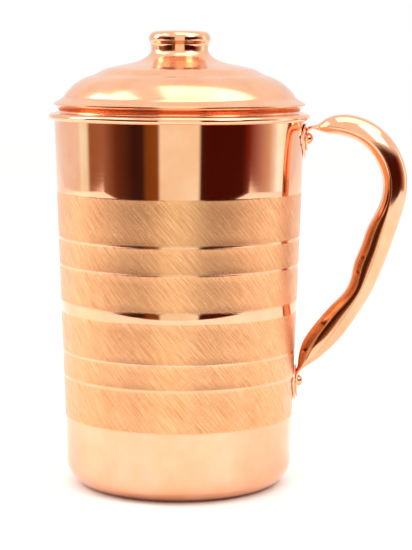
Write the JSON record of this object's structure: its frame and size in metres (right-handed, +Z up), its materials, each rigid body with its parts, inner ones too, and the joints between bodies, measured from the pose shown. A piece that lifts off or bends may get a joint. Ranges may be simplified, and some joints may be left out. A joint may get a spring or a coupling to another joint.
{
  "type": "lidded copper water jug",
  "caption": "Tapered copper water jug with a rolled rim, a riveted hollow handle and a domed lift-off lid with a knob.",
  "frame": {"origin": "centre of the flat base, on the jug's axis", "axes": "+Z up along the jug's axis, +X from the axis towards the handle"},
  "size_m": [0.1739, 0.1266, 0.2213],
  "materials": {
    "body_copper": "copper sheet: mirror-polished bands above and below a satin cross-hatched zone",
    "handle_copper": "mirror-polished pressed copper",
    "rivet_copper": "polished solid copper",
    "lid_copper": "mirror-polished spun copper"
  },
  "bodies": {
    "jug": {"jug_body": "body_copper", "handle_outer_shell": "handle_copper", "handle_inner_shell": "handle_copper", "upper_rivet": "rivet_copper", "lower_rivet": "rivet_copper"},
    "lid": {"lid_dome": "lid_copper", "lid_collar": "lid_copper", "lid_knob": "lid_copper"}
  },
  "joints": [
    {"name": "lid_lift", "type": "slide", "parent": "jug", "child": "lid", "axis": [0, 0, 1], "range_m": [0, 0.08]}
  ]
}
